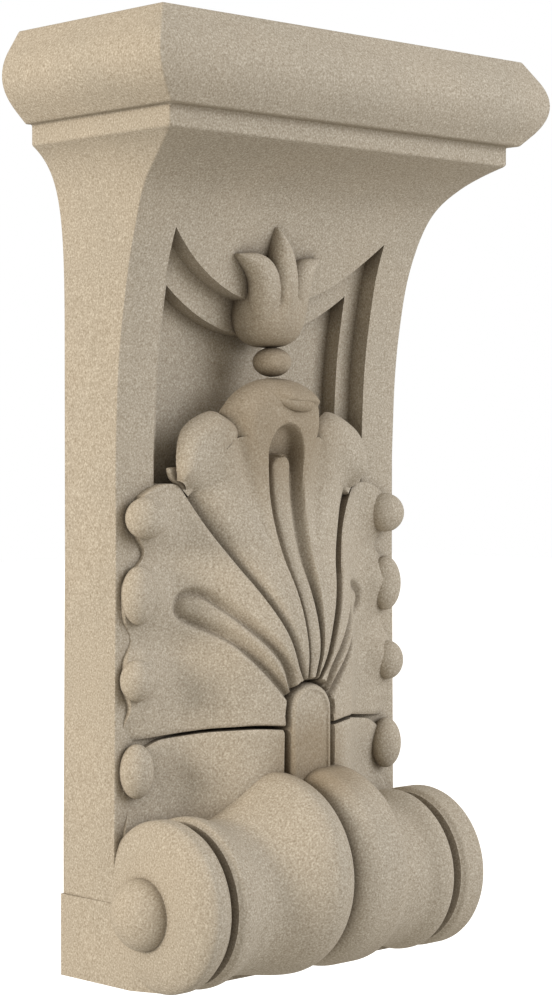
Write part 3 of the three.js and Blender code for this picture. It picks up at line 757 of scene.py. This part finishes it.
def side_relief(x, z):
    outline = SIDE_OUTLINES["left" if x.mean() < 0 else "right"]
    away, _ = distance_to(drawn(outline), x, z)
    start, end = (np.array(FOLD_LINE[key]) for key in ("from", "to"))
    across = np.array([end[1] - start[1], start[0] - end[0]]) / np.hypot(*(end - start))
    past = (np.abs(x) - start[0]) * across[0] + (z - start[1]) * across[1]
    share = np.clip(past / SIDE_ROLL, 0, 1)
    bent = SIDE_ROLL * (1 - np.sqrt(1 - share ** 2))
    forward = SIDE_FRONT - swell(x, z) - bent
    return mix(body_relief(x, z), forward, soft_step(past, FORWARD_FROM, 0)) - rolled(away, EDGE_ROUND)


def ledge_relief(x, z):
    away, _ = distance_to(drawn(LEDGE_OUTLINE), np.abs(x), z)
    return -rolled(away, LEDGE_ROUND) - LEDGE_DROP


def mirrored(points, side):
    return [(side * x, z) for x, z in points]


for word, side in (("left", -1), ("right", 1)):
    stalk = (side * SIDE_STALK[0], SIDE_STALK[1])
    leaf_parts.append(tip_sheet("side_tip_" + word, SIDE_OUTLINES[word],
                                mirrored(SIDE_ROOT, side), 46, side_relief, stalk))
    leaf_parts.append(tip_sheet("ledge_" + word, mirrored(LEDGE_OUTLINE, side),
                                mirrored(LEDGE_ROOT, side), 14, ledge_relief, stalk))
print("upper leaf's tips:", [(part.name, len(part.data.polygons)) for part in leaf_parts[1:]])

# %% [markdown]
# Each side lobe spreads from the tongue to the leaf's margin. A finger with a rounded end is left
# standing on it, with a groove all the way round, and a deep thin crease parts it from the low lobe.
# Shallow hollows run inwards from the notches between the curled points of the margin.

# %% Ribs of a side lobe
crease_rib = [(11, 119), (29, 120.4), (45, 119.6), (59, 117.8), (72, 116.5), (83, 115.4), (90, 114.5)]
side_rib = [(9.5, 132), (25, 147.5), (36, 160), (48, 172), (61, 177.5), (78, 184), (91, 188)]
shoulder_rib = [(5.5, 137), (19, 157), (33, 182), (50, 206), (66, 219.5), (76, 226), (81, 231)]
SIDE_SHARES = (0.5, 0.82)
MARGIN_NOTCHES = [{"z": 131, "depth": 3, "width": 6}, {"z": 163, "depth": 5, "width": 7},
                  {"z": 203, "depth": 9, "width": 8}]
SHOULDER_RISE = 10
SIDE_GRID = (110, 100)


def side_place(up, along):
    ribs = [smooth_line(rib, along) for rib in (crease_rib, side_rib, shoulder_rib, lobe_edge)]
    first, second = SIDE_SHARES
    up = up[..., None]
    lower = mix(ribs[0], ribs[1], up / first)
    middle = mix(ribs[1], ribs[2], (up - first) / (second - first))
    upper = mix(ribs[2], ribs[3], (up - second) / (1 - second))
    place = np.where(up <= first, lower, np.where(up <= second, middle, upper))
    x, z = place[..., 0], place[..., 1]
    outer = soft_step(along, 0.8, 1)
    for notch in MARGIN_NOTCHES:
        x = x - notch["depth"] * np.exp(-((z - notch["z"]) / notch["width"]) ** 2) * outer
    crown_share = np.clip((up[..., 0] - second) / (1 - second), 0, 1)
    z = z + SHOULDER_RISE * crown_share * (1 - crown_share) * outer
    return x, z


# %% Grooves and hollows of a side lobe
finger_groove = [(14.4, 133.9), (23.2, 144.3), (32.8, 154.6), (42.4, 163.9), (53.2, 169.9),
                 (59.5, 173.8), (61, 178.6), (58, 183.2), (50.5, 183.8), (43, 178.1),
                 (33.3, 168.2), (24.1, 158.6), (16.1, 147.9), (12, 137.5)]
FINGER_WIDTHS = [1.8, 2.3, 2.3, 2.2, 2.2, 2.3, 2.3, 2.1, 1.8]
FINGER_DEPTHS = [4, 5.5, 5, 4, 3.6, 4.5, 5, 5, 4]
HOLLOWS = [[(86, 163), (66, 158), (48, 148)], [(82, 203), (70, 200), (57, 196)]]
CURL = {"places": [(76, 221), (78, 186), (80, 147)], "reach": (9, 10), "height": 5.5}
LOBE_ROUND = 1.2
LOBE_CORNER = {"place": (90, 117), "reach": (9, 7), "drop": 3}


def bump(x, z, middle_x, middle_z, reach_x, reach_z):
    """A soft round hump, 1 at its middle."""
    return np.exp(-((x - middle_x) / reach_x) ** 2 - ((z - middle_z) / reach_z) ** 2)


def lobe_relief(x, z):
    relief = -groove(finger_groove, x, z, FINGER_WIDTHS, FINGER_DEPTHS)
    for hollow in HOLLOWS:
        relief = relief - groove(hollow, x, z, [8, 9, 8], [2.6, 2, 0])
    for curl in CURL["places"]:
        relief = relief + CURL["height"] * bump(x, z, *curl, *CURL["reach"])
    return relief


def edge_round(share, length):
    """Rounds a sheet over near its edge, over a share of the grid as long as the rounding."""
    near = np.clip(1 - share / length, 0, 1)
    return LOBE_ROUND * (1 - np.sqrt(1 - near ** 2))


def side_lobe(name, side):
    along, up = grid(*SIDE_GRID)
    x, z = side_place(up, along)
    depth = swell(x, z) + lobe_relief(x, z)
    depth = depth - edge_round(up, 0.03) - edge_round(1 - up, 0.04) - edge_round(1 - along, 0.02)
    corner = bump(x, z, *LOBE_CORNER["place"], *LOBE_CORNER["reach"])
    return closed_sheet(name, np.stack([side * x, depth - LOBE_CORNER["drop"] * corner, z], -1), LEAF_BACK)


# %% The low lobes
LOW_LOBE_BOTTOM = 50
LOW_LOBE_TOP = 118
LOW_NOTCH = {"z": 88, "depth": 2.5, "width": 7}
LOW_CORNER = {"ends": (68, 92), "drop": 7}
LOW_HOLLOW = [(90, 84), (70, 92), (52, 98)]
CREASE_WIDTH = 1.8
LOW_GRID = (88, 56)


def low_lobe(name, side):
    along, up = grid(*LOW_GRID)
    crease = smooth_line(crease_rib, along)
    level = mix(LOW_LOBE_BOTTOM, LOW_LOBE_TOP, up)
    notch = np.exp(-((level - LOW_NOTCH["z"]) / LOW_NOTCH["width"]) ** 2) * soft_step(along, 0.8, 1)
    x = crease[..., 0] - LOW_NOTCH["depth"] * notch
    top = crease[..., 1] - CREASE_WIDTH - LOW_CORNER["drop"] * soft_step(x, *LOW_CORNER["ends"])
    z = mix(LOW_LOBE_BOTTOM, top, up)
    depth = swell(x, z) - edge_round(1 - up, 0.04) - edge_round(1 - along, 0.02)
    depth = depth - groove(LOW_HOLLOW, x, z, [10, 12, 10], [2.5, 3, 0])
    return closed_sheet(name, np.stack([side * x, depth, z], -1), LEAF_BACK)


for word, side in (("left", -1), ("right", 1)):
    leaf_parts += [side_lobe(f"side_lobe_{word}", side), low_lobe(f"low_lobe_{word}", side)]
print("lobes:", [(part.name, len(part.data.polygons)) for part in leaf_parts[-4:]])

# %% [markdown]
# The tongue is the leaf's stalk: a bar with a round top, a wide soft bevel and a flat face that is sunk a
# little, so that a thin rim stands round it.

# %% The tongue
TONGUE_GRID = (60, 84)
PANEL_SUNK = 0.9


def tongue():
    across, along = grid(*TONGUE_GRID, left=-1)
    half = TONGUE["half_width"]
    centre = TONGUE["top"] - half
    z = mix(TONGUE["bottom"], centre + half * np.sqrt(1 - across ** 2), along)
    inside = half - np.hypot(across * half, np.maximum(0, z - centre))
    depth = TONGUE["depth"] - rolled(inside, TONGUE["bevel"])
    depth = depth - PANEL_SUNK * soft_step(inside, TONGUE["bevel"] - 0.4, TONGUE["bevel"] + 0.6)
    return closed_sheet("tongue", np.stack([across * half, depth, z], -1), LEAF_BACK)


leaf_parts.append(tongue())
print("tongue:", len(leaf_parts[-1].data.polygons), "faces")

# %% [markdown]
# Along both margins the leaf's points curl over into small beads. They are alike but each has its own
# size, so Geometry Nodes place one bead on every point of a small mesh, scaled by an attribute.

# %% Curled leaf tips along the margins
BEADS = [
    {"place": (81, 45.5, 220.5), "radii": (10.7, 9, 10)},
    {"place": (83.5, 43, 184), "radii": (9, 7.5, 14)},
    {"place": (85, 43.5, 144), "radii": (8.6, 7.7, 10)},
    {"place": (84.6, 42.5, 101), "radii": (8.5, 7.6, 13)},
]
BEAD_SIZES = {"Bead scale": 1.0}


def bead_tree():
    tree = new_tree("curled leaf tips", BEAD_SIZES)
    size = tree.nodes.new("NodeGroupInput").outputs
    bead = add(tree, "GeometryNodeMeshUVSphere", None, {"Segments": 32, "Rings": 20, "Radius": 1})
    radii = add(tree, "GeometryNodeInputNamedAttribute", {"data_type": "FLOAT_VECTOR"}, {"Name": "radii"})
    scale = add(tree, "ShaderNodeVectorMath", {"operation": "SCALE"},
                {0: radii, "Scale": size["Bead scale"]})
    placed = add(tree, "GeometryNodeInstanceOnPoints", None,
                 {"Points": size["Geometry"], "Instance": bead, "Scale": scale})
    real = add(tree, "GeometryNodeRealizeInstances", None, {"Geometry": placed})
    stone = add(tree, "GeometryNodeSetMaterial", None, {"Geometry": real, "Material": size["Material"]})
    add(tree, "NodeGroupOutput", None, {"Geometry": stone})
    return tree


places = [(side * bead["place"][0], *bead["place"][1:]) for side in (-1, 1) for bead in BEADS]
radii = [[radius * MM for radius in bead["radii"]] for bead in BEADS] * 2
beads = mesh_object("margin_beads", places, [])
beads.data.attributes.new("radii", "FLOAT_VECTOR", "POINT").data.foreach_set(
    "vector", np.array(radii, np.float32).ravel())
grown(beads, bead_tree(), BEAD_SIZES, sandstone)
leaf_parts.append(beads)
print("beads:", len(places), "on the margins,", len(beads.data.polygons), "faces")

# %% [markdown]
# ## The flower
# Above the leaf a tulip bud stands on a small bead. The bud is a cup, and three petals rise from it
# against the hollow of the front: a tall one in the middle and one on each side that curls outwards.
# Soft folds between the petals run down the cup.

# %% The cup and the bead under it
BUD = {"depth": 43, "bottom": 303}
bud_profile = [(0.2, 0), (8, 1), (14, 4.6), (17.6, 11), (18.4, 18), (17.2, 26), (16, 33), (13, 40), (5, 43)]
FOLDS = [-0.42, 0.45]
FOLD_DEPTH = 1.6
FOLD_WIDTH = 0.13
BUD_RINGS = 54
BUD_SEGMENTS = 96
STEM_BEAD = {"z": 296, "depth": 46, "radius": 9.6, "height": 7.3}


def bud():
    up = np.linspace(0, 1, BUD_RINGS)
    turn = np.linspace(-math.pi, math.pi, BUD_SEGMENTS, endpoint=False)
    profile = smooth_line(bud_profile, up)
    radius = profile[:, 0][:, None] * np.ones(BUD_SEGMENTS)
    for fold in FOLDS:
        crease = np.exp(-((turn - fold) / FOLD_WIDTH) ** 2)
        radius = radius - FOLD_DEPTH * crease * soft_step(up, 0.3, 0.75)[:, None]
    z = BUD["bottom"] + profile[:, 1][:, None] * np.ones(BUD_SEGMENTS)
    rings = np.stack([radius * np.sin(turn), BUD["depth"] + radius * np.cos(turn), z], -1)
    return closed_rings("bud", rings, [(0, BUD["depth"], z.min()), (0, BUD["depth"], z.max())])


flower_parts = [bud(), ball("stem_bead", (0, STEM_BEAD["depth"], STEM_BEAD["z"]),
                            (STEM_BEAD["radius"], STEM_BEAD["radius"], STEM_BEAD["height"]))]
print("bud:", len(flower_parts[0].data.polygons), "faces")

# %% [markdown]
# A petal is swept: round sections, wide at the cup and drawn to a point, follow a curved middle line.
# The small lip that the leaf's middle tip folds over its eyelet is swept in the same way.

# %% Three petals and the lip, swept along their middle lines
SWEPT = {
    "lip": {
        "line": [(-10, 56, 279), (-3, 57.5, 276.8), (6, 58, 275.8), (15, 56, 276), (23, 50.5, 275.5)],
        "half_widths": [0.8, 3.2, 4.3, 4.4, 2], "thickness": 4},
    "petal_left": {
        "line": [(-8.5, 48, 312), (-9.5, 51, 325), (-12.5, 53, 336), (-19, 54, 342.5), (-30, 53, 347)],
        "half_widths": [8, 8.6, 8, 6, 0.5], "thickness": 8.5},
    "petal_middle": {
        "line": [(-0.5, 51, 312), (-0.5, 53, 325), (-1.5, 54, 338), (-3.5, 55, 349), (-7.5, 56, 361)],
        "half_widths": [7, 7.5, 7.5, 5.5, 0.5], "thickness": 9},
    "petal_right": {
        "line": [(8.5, 48, 312), (9.5, 50, 325), (11, 52, 335), (15, 53, 342), (24, 53, 347.5)],
        "half_widths": [8, 8.4, 7.5, 5.5, 0.5], "thickness": 8},
}
SWEPT_RINGS = 48
SWEPT_SEGMENTS = 36
ROUND_START = 0.15


def swept(name, line, half_widths, thickness):
    """Round sections along a curved middle line, as wide as given and flatter where they narrow."""
    along = np.linspace(0, 1, SWEPT_RINGS)
    middle = smooth_line(line, along)
    forward = np.gradient(middle, axis=0)
    forward /= np.linalg.norm(forward, axis=1)[:, None]
    out = np.array([0, 1, 0])
    sideways = np.cross(forward, out)
    sideways /= np.linalg.norm(sideways, axis=1)[:, None]
    wide = smooth_line(np.array(half_widths)[:, None], along)[:, 0].clip(0.3)
    closing = np.sqrt(np.clip(1 - (1 - along / ROUND_START).clip(0) ** 2, 0.01, 1))
    thick = thickness * np.sqrt((wide / max(half_widths)).clip(0.02, 1))
    turn = np.linspace(0, 2 * math.pi, SWEPT_SEGMENTS, endpoint=False)
    ring = (np.cos(turn)[None, :, None] * (wide * closing)[:, None, None] * sideways[:, None]
            + np.sin(turn)[None, :, None] * (thick * closing)[:, None, None] * out)
    return closed_rings(name, middle[:, None] + ring, middle[[0, -1]])


flower_parts += [swept(name, **sizes) for name, sizes in SWEPT.items()]
print("flower:", len(flower_parts), "forms")

# %% [markdown]
# ## One stone
# All forms are now joined into the block. A union keeps only the outside, so the result is one closed
# skin, like the real stone's. Where sheets nearly coincide it can leave a crumb of a few loose faces
# inside, and these are deleted.

# %% Join everything into one skin
CRUMB_FACES = 50


def drop_crumbs(made):
    """Deletes islands of only a few faces, and says how many faces went."""
    work = bmesh.new()
    work.from_mesh(made.data)
    waiting, crumbs = set(work.faces), []
    while waiting:
        island, border = [], [waiting.pop()]
        while border:
            face = border.pop()
            island.append(face)
            near = {other for edge in face.edges for other in edge.link_faces} & waiting
            waiting -= near
            border.extend(near)
        if len(island) < CRUMB_FACES:
            crumbs += island
    count = len(crumbs)
    bmesh.ops.delete(work, geom=crumbs, context="FACES")
    work.to_mesh(made.data)
    work.free()
    return count


combine(corbel, [*foot_parts, *leaf_parts, *flower_parts], "UNION")
print("loose faces deleted:", drop_crumbs(corbel))
print("stone:", len(corbel.data.polygons), "faces, volume", round(signed_volume(corbel) * 1e6), "cm3")

# %% [markdown]
# The faces are shaded smooth, with the arrises and creases kept sharp. The cap's rounded nose ends a
# few hundredths of a millimetre past the solid's flat facets, so the corners are held inside its box.

# %% Smooth faces, sharp creases, and corners held inside the solid's box
CREASE_ANGLE = 40
corbel.data.shade_smooth()
corbel.data.set_sharp_from_angle(angle=math.radians(CREASE_ANGLE))
corners = np.empty(len(corbel.data.vertices) * 3)
corbel.data.vertices.foreach_get("co", corners)
corners = np.clip(corners.reshape(-1, 3), low, high)
corbel.data.vertices.foreach_set("co", corners.ravel())
corbel.data.materials.clear()
corbel.data.materials.append(sandstone)
corbel.data.calc_loop_triangles()
print("stone:", len(corbel.data.loop_triangles), "triangles")

# %% [markdown]
# ## Sandstone
# Sandstone is sand grains held by a clay cement. Cut with a chisel and rubbed, it is quite matt. Close
# up it is a speckle of pale quartz and a few dark grains, and from a step away the speckle gives a warm
# buff with slow cloudy changes. The hollows, which an ambient occlusion node finds, get painted shade in a
# dark brown.
# Handled and weathered parts, here the leaf's head, the tongue and the bud, have a browner patina.

# %% Colours and grain
def linear(hex_colour):
    """An sRGB hex colour as linear red, green, blue and alpha."""
    parts = [int(hex_colour[i:i + 2], 16) / 255 for i in (1, 3, 5)]
    return [p / 12.92 if p <= 0.04045 else ((p + 0.055) / 1.055) ** 2.4 for p in parts] + [1]


BUFF = "#aea28f"
GREY_BUFF = "#a39a8a"
PALE_GRAIN = "#d3cbb9"
DARK_GRAIN = "#81745f"
PAINTED_SHADE_BROWN = "#3d2f1e"
PATINA = "#7b6748"
PATINA_PLACES = [{"place": (0, -55, 42), "reach": 56, "strength": 0.45},
                 {"place": (0, -76, -125), "reach": 36, "strength": 0.5},
                 {"place": (0, -48, 92), "reach": 30, "strength": 0.3}]
GRAIN_SIZE = 0.9
CLOUD_SIZE = 45
PAINTED_SHADE_REACH = 14


def per_metre(size_mm):
    """Scale of a pattern whose features are this many millimetres across."""
    return 1 / (size_mm * MM)


def dress_sandstone(material):
    material.use_nodes = True
    tree = material.node_tree
    shader = tree.nodes["Principled BSDF"]
    shader.inputs["Roughness"].default_value = 0.9
    shader.inputs["Specular IOR Level"].default_value = 0.2
    where = add(tree, "ShaderNodeTexCoord").outputs["Object"]
    cloud = add(tree, "ShaderNodeTexNoise", None,
                {"Vector": where, "Scale": per_metre(CLOUD_SIZE), "Detail": 3, "Roughness": 0.55})
    ground = add(tree, "ShaderNodeMix", {"data_type": "RGBA"},
                 {0: cloud, 6: linear(BUFF), 7: linear(GREY_BUFF)})
    grains = add(tree, "ShaderNodeTexNoise", None,
                 {"Vector": where, "Scale": per_metre(GRAIN_SIZE), "Detail": 1.5, "Roughness": 0.6})
    pale = add(tree, "ShaderNodeMapRange", None, {0: grains, 1: 0.52, 2: 0.75, 3: 0.0, 4: 0.65})
    dark = add(tree, "ShaderNodeMapRange", None, {0: grains, 1: 0.48, 2: 0.25, 3: 0.0, 4: 0.7})
    layers = [(pale, PALE_GRAIN), (dark, DARK_GRAIN)]
    for spot in PATINA_PLACES:
        centre = [size * MM for size in spot["place"]]
        away = add(tree, "ShaderNodeVectorMath", {"operation": "DISTANCE"}, {0: where, 1: centre})
        share = add(tree, "ShaderNodeMapRange", {"interpolation_type": "SMOOTHSTEP"},
                    {0: away.outputs["Value"], 1: 0.3 * spot["reach"] * MM, 2: spot["reach"] * MM,
                     3: spot["strength"], 4: 0.0})
        layers.append((share, PATINA))
    # Painted shade: the colour is darkened towards a dark brown where the ambient occlusion node finds a
    # hollow.
    hollow = add(tree, "ShaderNodeAmbientOcclusion", {"samples": 8}, {"Distance": PAINTED_SHADE_REACH * MM})
    painted_shade = add(tree, "ShaderNodeMapRange", None,
               {0: hollow.outputs["AO"], 1: 0.15, 2: 0.85, 3: 0.7, 4: 0.0})
    layers.append((painted_shade, PAINTED_SHADE_BROWN))
    colour = ground.outputs[2]
    for share, paint in layers:
        colour = add(tree, "ShaderNodeMix", {"data_type": "RGBA"},
                     {0: share, 6: colour, 7: linear(paint)}).outputs[2]
    tree.links.new(colour, shader.inputs["Base Color"])
    rough = add(tree, "ShaderNodeTexNoise", None,
                {"Vector": where, "Scale": per_metre(GRAIN_SIZE), "Detail": 2, "Roughness": 0.6})
    bump = add(tree, "ShaderNodeBump", None, {"Height": rough, "Strength": 0.5, "Distance": 0.35 * MM})
    tree.links.new(bump.outputs[0], shader.inputs["Normal"])


dress_sandstone(sandstone)
print("sandstone:", len(sandstone.node_tree.nodes), "nodes")

# %% [markdown]
# ## Studio
# The corbel hangs against a white surround over a pale floor. A large cool softbox in front, a little
# raised, lights the faces that look forward and up, and leaves the undersides to the weaker, warmer
# light of the surround. A second softbox stands far to the left, in line with the wall: it lights the
# side of the block and the curled tips, and passes along the front without entering the panel.

# %% Floor and surround
FLOOR_DROP = 0.25
FLOOR_REACH = 8
floor_mesh = bpy.data.meshes.new("floor")
floor_height = low.z - FLOOR_DROP
floor_mesh.from_pydata([(x * FLOOR_REACH, y * FLOOR_REACH, floor_height)
                        for x, y in ((-1, -1), (1, -1), (1, 1), (-1, 1))], [], [(0, 1, 2, 3)])
floor = bpy.data.objects.new("floor", floor_mesh)
bpy.context.scene.collection.objects.link(floor)
floor.visible_diffuse = False
floor.visible_glossy = False
paint = bpy.data.materials.new("white_floor_paint")
paint.use_nodes = True
paint_shader = paint.node_tree.nodes["Principled BSDF"]
paint_shader.inputs["Base Color"].default_value = linear("#fdfdfd")
paint_shader.inputs["Roughness"].default_value = 0.9
paint_shader.inputs["Emission Color"].default_value = linear("#ffffff")
paint_shader.inputs["Emission Strength"].default_value = 0.6
floor_mesh.materials.append(paint)

SURROUND_LIGHT = 0.64
SURROUND_WARMTH = "#fffaf2"
world = bpy.data.worlds.new("surround")
world.use_nodes = True
bpy.context.scene.world = world
seen = world.node_tree.nodes["Background"]
seen.inputs["Color"].default_value = linear("#ffffff")
lighting = add(world.node_tree, "ShaderNodeBackground", None,
               {"Color": linear(SURROUND_WARMTH), "Strength": SURROUND_LIGHT})
camera_ray = add(world.node_tree, "ShaderNodeLightPath").outputs["Is Camera Ray"]
surround = add(world.node_tree, "ShaderNodeMixShader", None, {0: camera_ray, 1: lighting, 2: seen})
world.node_tree.links.new(surround.outputs[0], world.node_tree.nodes["World Output"].inputs["Surface"])


# %% Two softboxes
def softbox(name, place, size, power, colour):
    """A square area light that looks at the corbel's middle."""
    light = bpy.data.lights.new(name, "AREA")
    light.size = size
    light.energy = power
    light.color = linear(colour)[:3]
    lamp = bpy.data.objects.new(name, light)
    bpy.context.scene.collection.objects.link(lamp)
    lamp.location = place
    lamp.rotation_euler = (Vector((0, -0.05, 0)) - Vector(place)).to_track_quat("-Z", "Y").to_euler()
    return lamp


softbox("left", (-2.2, 0.3, 0.5), 0.8, 42, "#fff7ee")
softbox("front", (0.8, -1.8, 0.7), 1.3, 30, "#f1f5ff")
bpy.context.scene.view_settings.view_transform = "Standard"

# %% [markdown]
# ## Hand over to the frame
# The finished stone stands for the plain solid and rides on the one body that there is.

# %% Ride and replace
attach(corbel, "root")
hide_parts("corbel")
